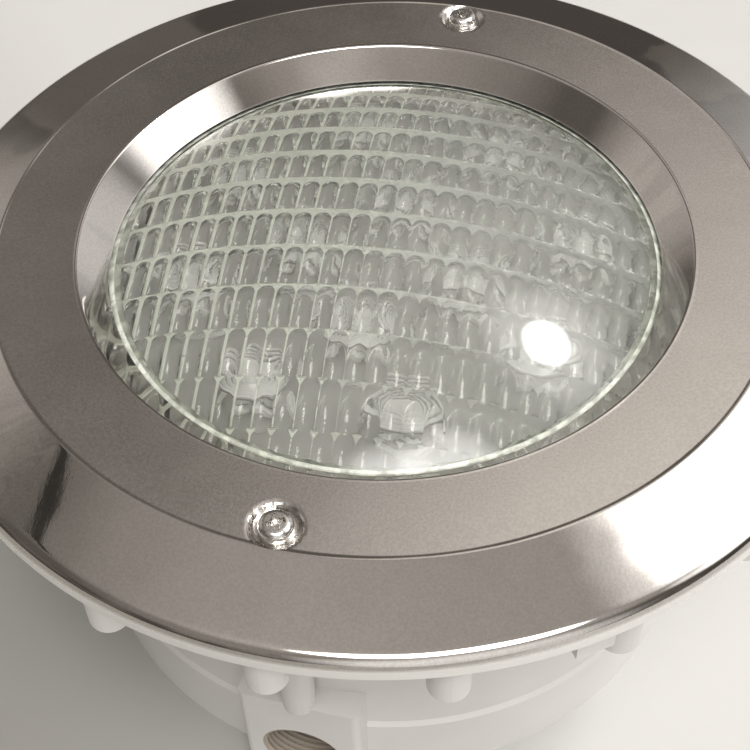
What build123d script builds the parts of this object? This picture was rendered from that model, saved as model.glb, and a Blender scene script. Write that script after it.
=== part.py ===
from build123d import *
import math
import os

os.makedirs("parts", exist_ok=True)

# Underwater pool light: a plastic wall niche and a PAR56-size LED lamp unit under a steel face ring.
# Millimetres. Z runs up the lamp's axis, with 0 at the niche's base; the conduit port faces -Y.

# Face ring, pressed from sheet
sheet = 1.0
lip_radius = 85.5          # lower edge of the inner bevel
lip_height = 132.4
bevel_radius = 94.1        # crease between inner bevel and flat band
face_height = 141.4
crease_radius = 119.0      # crease between flat band and sloping outer band
crease_height = 142.0
rim_radius = 145.5
rim_height = 134.7         # where the outer slope, run on, would meet the skirt
skirt_bottom = 128.2
bevel_bend = 1.4
crease_bend = 3.0
rim_bend = 4.5

# Face screws, M5, and the pressed dimples that they sit in
screw_circle = 112.0
screw_sides = {"near": -90, "far": 90}
screw_radius = 2.5
screw_clearance = 2.8
screw_tip = 115.3
dimple_floor = 139.8
dimple_radius = 6.0
dimple_mouth = 7.0
washer_thickness = 0.5
head_radius = 4.8
head_height = 3.2
head_bend = 1.9
recess_length = 5.2
recess_width = 1.5
recess_depth = 2.2
recess_turn = 30
fit = 0.06                 # radial clearance of a plain shank that stands in for a thread
insert_radius = 3.6
insert_length = 14.0

# Niche
wall_radius = 107.2
mouth_radius = 103.5
band_radius = 108.5
band_height = 28.0
floor_top = 4.0
flange_radius = 143.5
flange_bottom = 126.4
flange_top = 129.2
boss_count = 18
boss_circle = 137.0
boss_radius = 6.0
boss_bottom = 109.4
boss_turn = -88.8          # direction of the first boss, in degrees from +X
tower_radius = 5.2
tower_bottom = 46.6
tower_bore_bottom = 60.0
block_face = 115.0
block_width = 39.0
block_top = 48.4
block_root = 104.0         # the block's hidden inner end, inside the wall
lug_circle = 141.0
lug_thickness = 3.5
lug_width = 11.0
lug_bottom = 117.4
lug_turn = -53.4
niche_round = 3.0
band_chamfer = 1.5
block_round = 2.5

# Conduit port, G3/4 female thread drawn as ring grooves at its pitch
port_height = 18.0
port_minor = 12.06
port_major = 13.2
port_pitch = 1.814
port_crest = 0.4
port_turns = 6
port_lead = 0.9

# Liner clamp
gasket_top = 130.4
clamp_top = 132.6
clamp_radius = 141.4
clamp_inner = 104.0
clamp_screw_radius = 2.1
clamp_screw_length = 16.0
clamp_head_radius = 4.0
clamp_tower_hole = 4.5
clamp_recess = (4.2, 0.9, 1.2)    # length, width and depth of each arm of the cross

# Lens
dome_radius = 190.0
dome_crest = 151.5
glass = 4.5
glass_radius = 88.5
glass_foot = 124.8
glass_inner = 84.0
lens_gasket_top = 128.2

# Lamp
carrier_bottom = 132.9
carrier_top = 138.4
carrier_radius = 117.5
carrier_bore = 90.0
carrier_wall = 2.2
carrier_skin = 2.5
rib_count = 24
rib_width = 1.8
sleeve_radius = 5.6
shell_rim_top = 122.8
shell_rim_bottom = 120.4
shell_rim_radius = 89.6
ledge_height = 115.9
cone_top = 112.0
cone_bottom = 56.0
tail_radius = 36.0
tail_bottom = 45.2
shell_wall = 2.5
ledge_width = 5.5
cap_screw_circle = 29.5
cap_screw_radius = 1.5
cap_head = (3.0, 2.0)      # radius and height
cap_post_radius = 4.3
seal_bore = 25.0
plate_top = 117.6
plate_thickness = 1.6
plate_screw_circle = 81.0
plate_screw_radius = 1.25
plate_head = (2.0, 1.6)    # radius and height
wire_holes = ((0, 8), (0, -8))
pad_thickness = 0.5
sink_base = 3.0
sink_radius = 76.0
fin_bottom = 99.0
fin_pitch = 8.0
fin_count = 15
fin_width = 1.8
fin_circle = 62.0
board_top = 85.6
board_thickness = 1.6
board_radius = 42.0
post_circle = 34.0
post_flats = 3.0           # half the width across flats
wire_clearing = 11.0       # radius left free of fins and parts around the leads
board_screw_radius = 1.45
board_head = (2.8, 2.0)    # radius and height
lead_radius = 1.1
inductor_place = (12, 10)
inductor_radius = 11.0
inductor_bore = 5.0
inductor_height = 9.0
capacitor_places = ((-14, 14), (-14, 1))
capacitor_radius = 5.0
capacitor_height = 15.0
rectifier_place = (-13, -14)
rectifier_size = (9.0, 9.0, 5.0)
terminal_place = (10, -16)
terminal_size = (15.0, 9.0, 10.0)
terminal_pitch = 7.6
terminal_hole = 1.9
cap_bottom = 40.2
gland_bore = 4.0
gland_flats = 11.0         # half the width across flats
gland_stem = 7.9
gland_bottom = 24.0
gland_seat = 6.6
nut_top = 33.0
nut_bottom = 22.0
nut_end = 18.0
nut_end_radius = 9.6
seal_thickness = 1.0
clip_circle = 97.0
clip_angles = (45, 135, 225, 315)
clip_post_radius = 4.4
clip_length = 14.6
clip_width = 9.0
clip_centre = 94.5
clip_thickness = 1.5
clip_screw_radius = 2.0
clip_head = (3.6, 2.4)     # radius and height

# Emitters: eight on an outer circle and four on an inner one
lamp_turn = -2.5
outer_leds = [(60.0, 22.5 + 45 * i + lamp_turn) for i in range(8)]
inner_leds = [(26.0, 90 * i + lamp_turn) for i in range(4)]


optic_radius = 10.4
optic_top = 12.4           # heights above the plate
optic_shoulder = 11.0
optic_foot = 1.1
optic_well = (3.0, 5.2)    # radius and top of the hollow over the emitter
package_width = 6.0
package_height = 0.9
package_dome = 2.0
holder_radius = 9.0
holder_bore = 6.6
holder_height = 3.0


def polar(radius, angle):
    return (radius * math.cos(math.radians(angle)), radius * math.sin(math.radians(angle)))


led_points = [polar(radius, angle) for radius, angle in outer_leds + inner_leds]


def section(*points):
    """A closed face in the XZ plane, for turning about an axis parallel to Z."""
    with BuildSketch(Plane.XZ) as outline:
        with BuildLine():
            Polyline(*points, close=True)
        make_face()
    return outline.sketch


def cross(length, width):
    """Two crossed bars: the outline of a cross recess, drawn in the sketch being built."""
    Rectangle(length, width)
    Rectangle(width, length)


def dome_height(radius, sphere):
    """Height of a lens surface at a distance from the axis; both surfaces share one centre."""
    return dome_crest - dome_radius + math.sqrt(sphere**2 - radius**2)


# ---- Niche ----

with BuildPart() as niche:
    with BuildSketch(Plane.XZ) as niche_outline:
        with BuildLine():
            Polyline(
                (0, 0),
                (band_radius, 0),
                (band_radius, band_height),
                (wall_radius, band_height + band_chamfer),
                (wall_radius, flange_bottom),
                (flange_radius, flange_bottom),
                (flange_radius, flange_top),
                (mouth_radius, flange_top),
                (mouth_radius, floor_top),
                (0, floor_top),
                close=True,
            )
        make_face()
        fillet(niche_outline.vertices().sort_by_distance((wall_radius, flange_bottom))[0], radius=niche_round)
        fillet(niche_outline.vertices().sort_by_distance((mouth_radius, floor_top))[0], radius=niche_round)
    revolve(axis=Axis.Z)
    with BuildSketch(Plane.XY):
        with Locations((0, -(block_face + block_root) / 2)):
            Rectangle(block_width, block_face - block_root)
    extrude(amount=block_top)
    fillet(niche.edges().filter_by(Axis.Z).group_by(Axis.Y)[0], radius=block_round)
    with BuildSketch(Plane.XY.offset(boss_bottom)):
        with PolarLocations(boss_circle, boss_count, start_angle=boss_turn):
            Circle(boss_radius)
    extrude(amount=flange_bottom - boss_bottom + 1)
    with BuildSketch(Plane.XY.offset(tower_bottom)):
        with PolarLocations(screw_circle, 2, start_angle=-90):
            Circle(tower_radius)
    extrude(amount=flange_bottom - tower_bottom + 1)
    with BuildSketch(Plane.XY.offset(lug_bottom)):
        with PolarLocations(lug_circle, 1, start_angle=lug_turn):
            Rectangle(lug_thickness, lug_width)
    extrude(amount=flange_bottom - lug_bottom + 1)
    # pilot holes in the bosses, and the stepped bores for the face-screw inserts
    with BuildSketch(Plane.XY.offset(flange_top)):
        with PolarLocations(boss_circle, boss_count, start_angle=boss_turn):
            Circle(clamp_screw_radius + 0.05)
    extrude(amount=-(flange_top - boss_bottom - 2), mode=Mode.SUBTRACT)
    with BuildSketch(Plane.XY.offset(flange_top)):
        with PolarLocations(screw_circle, 2, start_angle=-90):
            Circle(screw_clearance + 0.1)
    extrude(amount=-(flange_top - tower_bore_bottom), mode=Mode.SUBTRACT)
    with BuildSketch(Plane.XY.offset(flange_top)):
        with PolarLocations(screw_circle, 2, start_angle=-90):
            Circle(insert_radius)
    extrude(amount=-insert_length, mode=Mode.SUBTRACT)
    # conduit port
    with BuildSketch(Plane.YZ):
        with BuildLine():
            grooves = []
            for turn in range(port_turns):
                start = -block_face + port_lead + turn * port_pitch
                grooves.append((start + port_crest, port_height + port_minor))
                grooves.append((start + port_crest / 2 + port_pitch / 2, port_height + port_major))
                grooves.append((start + port_pitch, port_height + port_minor))
            Polyline(
                (-block_face - 1, port_height),
                (-block_face - 1, port_height + port_minor + port_lead + 1),
                (-block_face + port_lead, port_height + port_minor),
                *grooves,
                (-mouth_radius + 4, port_height + port_minor),
                (-mouth_radius + 4, port_height),
                close=True,
            )
        make_face()
    revolve(axis=Axis((0, 0, port_height), (0, 1, 0)), mode=Mode.SUBTRACT)
niche.part.label = "niche_housing"
export_step(niche.part, "parts/niche_housing.step")

with BuildPart() as inserts:
    with BuildSketch(Plane.XY.offset(flange_top)):
        with PolarLocations(screw_circle, 2, start_angle=-90):
            Circle(insert_radius - 0.02)
            Circle(screw_radius + fit, mode=Mode.SUBTRACT)
    extrude(amount=0.1 - insert_length)
inserts.part.label = "screw_inserts"
export_step(inserts.part, "parts/screw_inserts.step")

with BuildPart() as gasket:
    with BuildSketch(Plane.XY.offset(flange_top)):
        Circle(flange_radius - 1)
        Circle(clamp_inner + 0.5, mode=Mode.SUBTRACT)
        with PolarLocations(boss_circle, boss_count, start_angle=boss_turn):
            Circle(clamp_screw_radius + 0.3, mode=Mode.SUBTRACT)
        with PolarLocations(screw_circle, 2, start_angle=-90):
            Circle(insert_radius, mode=Mode.SUBTRACT)
    extrude(amount=gasket_top - flange_top)
gasket.part.label = "flange_gasket"
export_step(gasket.part, "parts/flange_gasket.step")

with BuildPart() as clamp_ring:
    with BuildSketch(Plane.XY.offset(gasket_top)):
        Circle(clamp_radius)
        Circle(clamp_inner, mode=Mode.SUBTRACT)
        with PolarLocations(screw_circle, 2, start_angle=-90):
            Circle(clamp_tower_hole, mode=Mode.SUBTRACT)
    extrude(amount=clamp_top - gasket_top)
    with Locations(Plane.XY.offset(clamp_top)):
        with PolarLocations(boss_circle, boss_count, start_angle=boss_turn):
            CounterSinkHole(clamp_screw_radius + 0.3, clamp_head_radius + 0.15, counter_sink_angle=90)
clamp_ring.part.label = "clamp_ring"
export_step(clamp_ring.part, "parts/clamp_ring.step")

with BuildPart() as clamp_screws:
    with Locations(Plane.XY.offset(clamp_top)):
        with PolarLocations(boss_circle, boss_count, start_angle=boss_turn):
            Cone(
                clamp_screw_radius,
                clamp_head_radius,
                clamp_head_radius - clamp_screw_radius,
                align=(Align.CENTER, Align.CENTER, Align.MAX),
            )
            Cylinder(
                clamp_screw_radius,
                clamp_screw_length,
                align=(Align.CENTER, Align.CENTER, Align.MAX),
            )
    with BuildSketch(Plane.XY.offset(clamp_top)):
        with PolarLocations(boss_circle, boss_count, start_angle=boss_turn):
            cross(*clamp_recess[:2])
    extrude(amount=-clamp_recess[2], mode=Mode.SUBTRACT)
clamp_screws.part.label = "clamp_screws"
export_step(clamp_screws.part, "parts/clamp_screws.step")

# ---- Face ring ----

with BuildPart() as face_ring:
    with BuildSketch(Plane.XZ):
        with BuildLine():
            FilletPolyline(
                (lip_radius, lip_height),
                (bevel_radius, face_height),
                (crease_radius, crease_height),
                (rim_radius, rim_height),
                (rim_radius, skirt_bottom),
                radius=(bevel_bend, crease_bend, rim_bend),
            )
            offset(amount=sheet, side=Side.RIGHT)
        make_face()
    revolve(axis=Axis.Z)
    with BuildSketch(Plane.XY.offset(dimple_floor - sheet)):
        with PolarLocations(screw_circle, 2, start_angle=-90):
            Circle(dimple_mouth + 0.3)
    extrude(amount=face_height - 0.3 - dimple_floor + sheet)
    with Locations(Plane.XY.offset(dimple_floor)):
        with PolarLocations(screw_circle, 2, start_angle=-90):
            Cone(
                dimple_radius,
                dimple_mouth,
                crease_height + 0.4 - dimple_floor,
                align=(Align.CENTER, Align.CENTER, Align.MIN),
                mode=Mode.SUBTRACT,
            )
    with BuildSketch(Plane.XY.offset(dimple_floor)):
        with PolarLocations(screw_circle, 2, start_angle=-90):
            Circle(screw_clearance)
    extrude(amount=-2 * sheet, mode=Mode.SUBTRACT)
face_ring.part.label = "face_ring"
export_step(face_ring.part, "parts/face_ring.step")

# Face screws and the washers that stay under their heads
for side, angle in screw_sides.items():
    centre = polar(screw_circle, angle)
    washer_top = dimple_floor + washer_thickness
    with BuildPart() as washer:
        with BuildSketch(Plane.XY.offset(dimple_floor)):
            with Locations(centre):
                Circle(head_radius + 0.6)
                Circle(screw_radius + fit, mode=Mode.SUBTRACT)
        extrude(amount=washer_thickness)
    washer.part.label = f"screw_washer_{side}"
    export_step(washer.part, f"parts/screw_washer_{side}.step")

    with BuildPart() as face_screw:
        with BuildSketch(Plane.XY.offset(washer_top)):
            with Locations(centre):
                Circle(head_radius)
        extrude(amount=head_height)
        fillet(face_screw.edges().group_by(Axis.Z)[-1], radius=head_bend)
        with BuildSketch(Plane.XY.offset(washer_top)):
            with Locations(centre):
                Circle(screw_radius)
        extrude(amount=-(washer_top - screw_tip))
        chamfer(face_screw.edges().group_by(Axis.Z)[0], length=0.8)
        with BuildSketch(Plane.XY.offset(washer_top + head_height)):
            with Locations(Location((*centre, 0), (0, 0, recess_turn))):
                cross(recess_length, recess_width)
                Circle(recess_width)
        extrude(amount=-recess_depth, taper=12, mode=Mode.SUBTRACT)
    face_screw.part.label = f"face_screw_{side}"
    export_step(face_screw.part, f"parts/face_screw_{side}.step")

# ---- Lens, its gasket and the carrier ----

with BuildPart() as lens:
    with BuildSketch(Plane.XZ):
        with BuildLine():
            crest = (0, dome_crest)
            edge = (glass_radius, dome_height(glass_radius, dome_radius))
            inner_edge = (glass_inner, dome_height(glass_inner, dome_radius - glass))
            inner_crest = (0, dome_crest - glass)
            RadiusArc(crest, edge, dome_radius)
            Line(edge, (glass_radius, glass_foot))
            Line((glass_radius, glass_foot), (glass_inner, glass_foot))
            Line((glass_inner, glass_foot), inner_edge)
            RadiusArc(inner_edge, inner_crest, -(dome_radius - glass))
            Line(inner_crest, crest)
        make_face()
    revolve(axis=Axis.Z)
lens.part.label = "front_lens"
export_step(lens.part, "parts/front_lens.step")

with BuildPart() as lens_gasket:
    revolve(
        section(
            (glass_inner, shell_rim_top),
            (shell_rim_radius, shell_rim_top),
            (shell_rim_radius, lens_gasket_top),
            (glass_radius + 0.1, lens_gasket_top),
            (glass_radius + 0.1, glass_foot),
            (glass_inner, glass_foot),
        ),
        axis=Axis.Z,
    )
lens_gasket.part.label = "lens_gasket"
export_step(lens_gasket.part, "parts/lens_gasket.step")

with BuildPart() as carrier:
    revolve(
        section(
            (carrier_bore, shell_rim_bottom + 0.2),
            (carrier_bore + carrier_wall, shell_rim_bottom + 0.2),
            (carrier_bore + carrier_wall, carrier_top - carrier_skin),
            (carrier_radius - carrier_skin, carrier_top - carrier_skin),
            (carrier_radius - carrier_skin, carrier_bottom),
            (carrier_radius, carrier_bottom),
            (carrier_radius, carrier_top),
            (carrier_bore + 3.4, carrier_top),
            (carrier_bore, carrier_top - 3.6),
        ),
        axis=Axis.Z,
    )
    # radial ribs, clip posts and screw sleeves
    with BuildSketch(Plane.XY.offset(carrier_bottom)):
        with PolarLocations((carrier_bore + carrier_radius) / 2, rib_count, start_angle=7.5):
            Rectangle(carrier_radius - carrier_bore - 2, rib_width)
        with PolarLocations(screw_circle, 2, start_angle=-90):
            Circle(sleeve_radius)
    extrude(amount=carrier_top - carrier_bottom - 2)
    with BuildSketch(Plane.XY.offset(shell_rim_bottom + 0.2)):
        for angle in clip_angles:
            with Locations(polar(clip_circle, angle)):
                Circle(clip_post_radius)
    extrude(amount=carrier_top - shell_rim_bottom - 1)
    with BuildSketch(Plane.XY.offset(carrier_top)):
        with PolarLocations(screw_circle, 2, start_angle=-90):
            Circle(screw_clearance)
    extrude(amount=-10, mode=Mode.SUBTRACT)
    with BuildSketch(Plane.XY.offset(shell_rim_bottom)):
        for angle in clip_angles:
            with Locations(polar(clip_circle, angle)):
                Circle(clip_screw_radius + 0.05)
    extrude(amount=12, mode=Mode.SUBTRACT)
carrier.part.label = "lamp_carrier"
export_step(carrier.part, "parts/lamp_carrier.step")

with BuildPart() as clips:
    with BuildSketch(Plane.XY.offset(shell_rim_bottom)):
        for angle in clip_angles:
            with Locations(Location((*polar(clip_centre, angle), 0), (0, 0, angle))):
                SlotOverall(clip_length, clip_width)
            with Locations(polar(clip_circle, angle)):
                Circle(clip_screw_radius + 0.2, mode=Mode.SUBTRACT)
    extrude(amount=-clip_thickness)
clips.part.label = "lamp_clips"
export_step(clips.part, "parts/lamp_clips.step")

with BuildPart() as clip_screws:
    for angle in clip_angles:
        seat = (*polar(clip_circle, angle), shell_rim_bottom - clip_thickness)
        with Locations(Location(seat, (180, 0, 0))):
            Cylinder(*clip_head, align=(Align.CENTER, Align.CENTER, Align.MIN))
            Cylinder(clip_screw_radius, 11.0, align=(Align.CENTER, Align.CENTER, Align.MAX))
    fillet(clip_screws.edges().group_by(Axis.Z)[0], radius=1.2)
    with BuildSketch(Plane.XY.offset(shell_rim_bottom - clip_thickness - clip_head[1])):
        for angle in clip_angles:
            with Locations(polar(clip_circle, angle)):
                cross(4.0, 1.0)
    extrude(amount=1.4, mode=Mode.SUBTRACT)
clip_screws.part.label = "clip_screws"
export_step(clip_screws.part, "parts/clip_screws.step")

# ---- Lamp shell and its rear end ----

cone_outer = glass_inner + shell_wall
with BuildPart() as shell:
    revolve(
        section(
            (glass_inner, shell_rim_top),
            (shell_rim_radius, shell_rim_top),
            (shell_rim_radius, shell_rim_bottom),
            (cone_outer, shell_rim_bottom),
            (cone_outer, cone_top),
            (tail_radius, cone_bottom - 2),
            (tail_radius, tail_bottom),
            (tail_radius - shell_wall, tail_bottom),
            (tail_radius - shell_wall, cone_bottom - 1),
            (glass_inner - ledge_width, cone_top),
            (glass_inner - ledge_width, ledge_height),
            (glass_inner, ledge_height),
        ),
        axis=Axis.Z,
    )
    with BuildSketch(Plane.XY.offset(tail_bottom)):
        with PolarLocations(cap_screw_circle, 4, start_angle=45):
            Circle(cap_post_radius)
    extrude(amount=10)
    with BuildSketch(Plane.XY.offset(tail_bottom)):
        with PolarLocations(cap_screw_circle, 4, start_angle=45):
            Circle(cap_screw_radius + 0.05)
    extrude(amount=8, mode=Mode.SUBTRACT)
    with BuildSketch(Plane.XY.offset(ledge_height)):
        with PolarLocations(plate_screw_circle, 6, start_angle=lamp_turn):
            Circle(plate_screw_radius + 0.05)
    extrude(amount=-5, mode=Mode.SUBTRACT)
shell.part.label = "lamp_shell"
export_step(shell.part, "parts/lamp_shell.step")

with BuildPart() as rear_seal:
    with BuildSketch(Plane.XY.offset(tail_bottom)):
        Circle(tail_radius)
        Circle(seal_bore, mode=Mode.SUBTRACT)
        with PolarLocations(cap_screw_circle, 4, start_angle=45):
            Circle(cap_screw_radius + 0.3, mode=Mode.SUBTRACT)
    extrude(amount=-seal_thickness)
rear_seal.part.label = "rear_cap_seal"
export_step(rear_seal.part, "parts/rear_cap_seal.step")

with BuildPart() as rear_cap:
    with BuildSketch(Plane.XY.offset(cap_bottom)):
        Circle(tail_radius)
        Circle(8.0, mode=Mode.SUBTRACT)
        with PolarLocations(cap_screw_circle, 4, start_angle=45):
            Circle(cap_screw_radius + 0.3, mode=Mode.SUBTRACT)
    extrude(amount=tail_bottom - seal_thickness - cap_bottom)
    chamfer(rear_cap.edges().group_by(Axis.Z)[0].sort_by(SortBy.LENGTH)[-1], length=1.2)
rear_cap.part.label = "rear_cap"
export_step(rear_cap.part, "parts/rear_cap.step")

with BuildPart() as rear_screws:
    with Locations(Plane.XY.offset(cap_bottom)):
        with PolarLocations(cap_screw_circle, 4, start_angle=45):
            Cylinder(*cap_head, align=(Align.CENTER, Align.CENTER, Align.MAX))
            Cylinder(cap_screw_radius, 11.0, align=(Align.CENTER, Align.CENTER, Align.MIN))
    fillet(rear_screws.edges().group_by(Axis.Z)[0], radius=1.0)
    with BuildSketch(Plane.XY.offset(cap_bottom - cap_head[1])):
        with PolarLocations(cap_screw_circle, 4, start_angle=45):
            cross(3.2, 0.8)
    extrude(amount=1.2, mode=Mode.SUBTRACT)
rear_screws.part.label = "rear_cap_screws"
export_step(rear_screws.part, "parts/rear_cap_screws.step")

with BuildPart() as gland_body:
    with BuildSketch(Plane.XY.offset(cap_bottom)):
        RegularPolygon(gland_flats, 6, major_radius=False)
    extrude(amount=-5)
    chamfer(gland_body.edges().group_by(Axis.Z)[0], length=0.6)
    with BuildSketch(Plane.XY.offset(gland_bottom)):
        Circle(gland_stem)
    extrude(amount=cap_bottom + 7.8 - gland_bottom)
    with BuildSketch(Plane.XY.offset(gland_bottom)):
        Circle(gland_bore + 0.6)
    extrude(amount=cap_bottom + 7.8 - gland_bottom, mode=Mode.SUBTRACT)
    with BuildSketch(Plane.XY.offset(gland_bottom)):
        Circle(gland_seat)
    extrude(amount=6.0, mode=Mode.SUBTRACT)
gland_body.part.label = "gland_body"
export_step(gland_body.part, "parts/gland_body.step")

with BuildPart() as gland_seal:
    with BuildSketch(Plane.XY.offset(nut_bottom + 0.2)):
        Circle(gland_seat - 0.1)
        Circle(gland_bore, mode=Mode.SUBTRACT)
    extrude(amount=gland_bottom + 5.9 - nut_bottom - 0.2)
gland_seal.part.label = "gland_seal"
export_step(gland_seal.part, "parts/gland_seal.step")

with BuildPart() as gland_nut:
    with BuildSketch(Plane.XY.offset(nut_bottom)):
        RegularPolygon(gland_flats, 6, major_radius=False)
    extrude(amount=nut_top - nut_bottom)
    chamfer(gland_nut.edges().group_by(Axis.Z)[-1], length=0.6)
    with BuildSketch(Plane.XY.offset(nut_end)):
        Circle(nut_end_radius)
    extrude(amount=nut_bottom - nut_end)
    fillet(gland_nut.edges().group_by(Axis.Z)[0], radius=2.0)
    with BuildSketch(Plane.XY.offset(nut_end)):
        Circle(gland_bore + 0.4)
    extrude(amount=nut_bottom - nut_end, mode=Mode.SUBTRACT)
    with BuildSketch(Plane.XY.offset(nut_bottom)):
        Circle(gland_stem + 0.05)
    extrude(amount=nut_top - nut_bottom, mode=Mode.SUBTRACT)
gland_nut.part.label = "gland_nut"
export_step(gland_nut.part, "parts/gland_nut.step")

# ---- LED plate, emitters and optics ----

with BuildPart() as plate:
    with BuildSketch(Plane.XY.offset(plate_top)):
        Circle(glass_inner - 0.8)
        with PolarLocations(plate_screw_circle, 6, start_angle=lamp_turn):
            Circle(1.6, mode=Mode.SUBTRACT)
        with Locations(*wire_holes):
            Circle(1.4, mode=Mode.SUBTRACT)
    extrude(amount=-plate_thickness)
plate.part.label = "led_plate"
export_step(plate.part, "parts/led_plate.step")

with BuildPart() as plate_screws:
    with Locations(Plane.XY.offset(plate_top)):
        with PolarLocations(plate_screw_circle, 6, start_angle=lamp_turn):
            Cylinder(*plate_head, align=(Align.CENTER, Align.CENTER, Align.MIN))
            Cylinder(plate_screw_radius, 5.5, align=(Align.CENTER, Align.CENTER, Align.MAX))
    fillet(plate_screws.edges().group_by(Axis.Z)[-1], radius=0.8)
    with BuildSketch(Plane.XY.offset(plate_top + plate_head[1])):
        with PolarLocations(plate_screw_circle, 6, start_angle=lamp_turn):
            cross(2.4, 0.6)
    extrude(amount=-0.9, mode=Mode.SUBTRACT)
plate_screws.part.label = "plate_screws"
export_step(plate_screws.part, "parts/plate_screws.step")

with BuildPart() as emitters:
    with BuildSketch(Plane.XY.offset(plate_top)):
        with Locations(*led_points):
            Rectangle(package_width, package_width)
    extrude(amount=package_height)
    with Locations(*[(x, y, plate_top + package_height) for x, y in led_points]):
        Sphere(package_dome, arc_size1=0, align=(Align.CENTER, Align.CENTER, Align.MIN))
emitters.part.label = "led_emitters"
export_step(emitters.part, "parts/led_emitters.step")

with BuildPart() as holders:
    with BuildSketch(Plane.XY.offset(plate_top)):
        with Locations(*led_points):
            Circle(holder_radius)
            Circle(holder_bore, mode=Mode.SUBTRACT)
    extrude(amount=holder_height)
holders.part.label = "optic_holders"
export_step(holders.part, "parts/optic_holders.step")

with BuildPart() as one_optic:
    revolve(
        section(
            (optic_well[0], optic_foot),
            (optic_radius / 2, optic_foot),
            (optic_radius - 0.8, optic_shoulder),
            (optic_radius, optic_shoulder),
            (optic_radius, optic_top),
            (0, optic_top),
            (0, optic_well[1]),
            optic_well,
        ),
        axis=Axis.Z,
    )

with BuildPart() as optics:
    with Locations(*[(x, y, plate_top) for x, y in led_points]):
        add(one_optic.part)
optics.part.label = "led_optics"
export_step(optics.part, "parts/led_optics.step")

plate_bottom = plate_top - plate_thickness
with BuildPart() as pad:
    with BuildSketch(Plane.XY.offset(plate_bottom)):
        Circle(sink_radius)
        with Locations(*wire_holes):
            Circle(1.6, mode=Mode.SUBTRACT)
    extrude(amount=-pad_thickness)
pad.part.label = "thermal_pad"
export_step(pad.part, "parts/thermal_pad.step")

sink_top = plate_bottom - pad_thickness
with BuildPart() as sink:
    with BuildSketch(Plane.XY.offset(sink_top)):
        Circle(sink_radius)
    extrude(amount=-sink_base)
    with BuildSketch(Plane.XY.offset(fin_bottom)):
        with GridLocations(fin_pitch, 0, fin_count, 1):
            Rectangle(fin_width, 2 * sink_radius)
        Circle(fin_circle, mode=Mode.INTERSECT)
        with PolarLocations(post_circle, 4, start_angle=45):
            Circle(post_flats + 2, mode=Mode.SUBTRACT)
        Circle(wire_clearing, mode=Mode.SUBTRACT)
    extrude(amount=sink_top - sink_base - fin_bottom + 0.5)
    with BuildSketch(Plane.XY.offset(sink_top)):
        with Locations(*wire_holes):
            Circle(1.6)
    extrude(amount=-sink_base, mode=Mode.SUBTRACT)
sink.part.label = "heat_sink"
export_step(sink.part, "parts/heat_sink.step")

# ---- Driver ----

post_top = sink_top - sink_base
with BuildPart() as posts:
    with BuildSketch(Plane.XY.offset(board_top)):
        with PolarLocations(post_circle, 4, start_angle=45):
            RegularPolygon(post_flats, 6, major_radius=False)
    extrude(amount=post_top - board_top)
    with BuildSketch(Plane.XY.offset(board_top)):
        with PolarLocations(post_circle, 4, start_angle=45):
            Circle(board_screw_radius + 0.05)
    extrude(amount=7, mode=Mode.SUBTRACT)
posts.part.label = "board_posts"
export_step(posts.part, "parts/board_posts.step")

board_bottom = board_top - board_thickness
with BuildPart() as board:
    with BuildSketch(Plane.XY.offset(board_top)):
        Circle(board_radius)
        with PolarLocations(post_circle, 4, start_angle=45):
            Circle(board_screw_radius + 0.25, mode=Mode.SUBTRACT)
    extrude(amount=-board_thickness)
board.part.label = "driver_board"
export_step(board.part, "parts/driver_board.step")

with BuildPart() as board_screws:
    with Locations(Plane.XY.offset(board_bottom)):
        with PolarLocations(post_circle, 4, start_angle=45):
            Cylinder(*board_head, align=(Align.CENTER, Align.CENTER, Align.MAX))
            Cylinder(board_screw_radius, 7.5, align=(Align.CENTER, Align.CENTER, Align.MIN))
    with BuildSketch(Plane.XY.offset(board_bottom - board_head[1])):
        with PolarLocations(post_circle, 4, start_angle=45):
            cross(3.2, 0.8)
    extrude(amount=1.2, mode=Mode.SUBTRACT)
board_screws.part.label = "board_screws"
export_step(board_screws.part, "parts/board_screws.step")

with BuildPart() as inductor:
    with BuildSketch(Plane.XY.offset(board_bottom - inductor_height)):
        with Locations(inductor_place):
            Circle(inductor_radius)
            Circle(inductor_bore, mode=Mode.SUBTRACT)
    extrude(amount=inductor_height)
    fillet(inductor.edges().group_by(Axis.Z)[0], radius=1.8)
inductor.part.label = "driver_inductor"
export_step(inductor.part, "parts/driver_inductor.step")

with BuildPart() as capacitors:
    with BuildSketch(Plane.XY.offset(board_bottom)):
        with Locations(*capacitor_places):
            Circle(capacitor_radius)
    extrude(amount=-capacitor_height)
    fillet(capacitors.edges().group_by(Axis.Z)[0], radius=0.8)
capacitors.part.label = "driver_capacitors"
export_step(capacitors.part, "parts/driver_capacitors.step")

with BuildPart() as rectifier:
    with BuildSketch(Plane.XY.offset(board_bottom)):
        with Locations(rectifier_place):
            Rectangle(*rectifier_size[:2])
    extrude(amount=-rectifier_size[2])
    fillet(rectifier.edges().filter_by(Axis.Z), radius=1.0)
rectifier.part.label = "driver_rectifier"
export_step(rectifier.part, "parts/driver_rectifier.step")

with BuildPart() as terminals:
    with BuildSketch(Plane.XY.offset(board_bottom)):
        with Locations(terminal_place):
            Rectangle(*terminal_size[:2])
    extrude(amount=-terminal_size[2])
    with BuildSketch(Plane.XY.offset(board_bottom - terminal_size[2])):
        with Locations(terminal_place):
            with GridLocations(terminal_pitch, 0, 2, 1):
                Circle(terminal_hole)
    extrude(amount=7.0, mode=Mode.SUBTRACT)
terminals.part.label = "driver_terminals"
export_step(terminals.part, "parts/driver_terminals.step")

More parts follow.
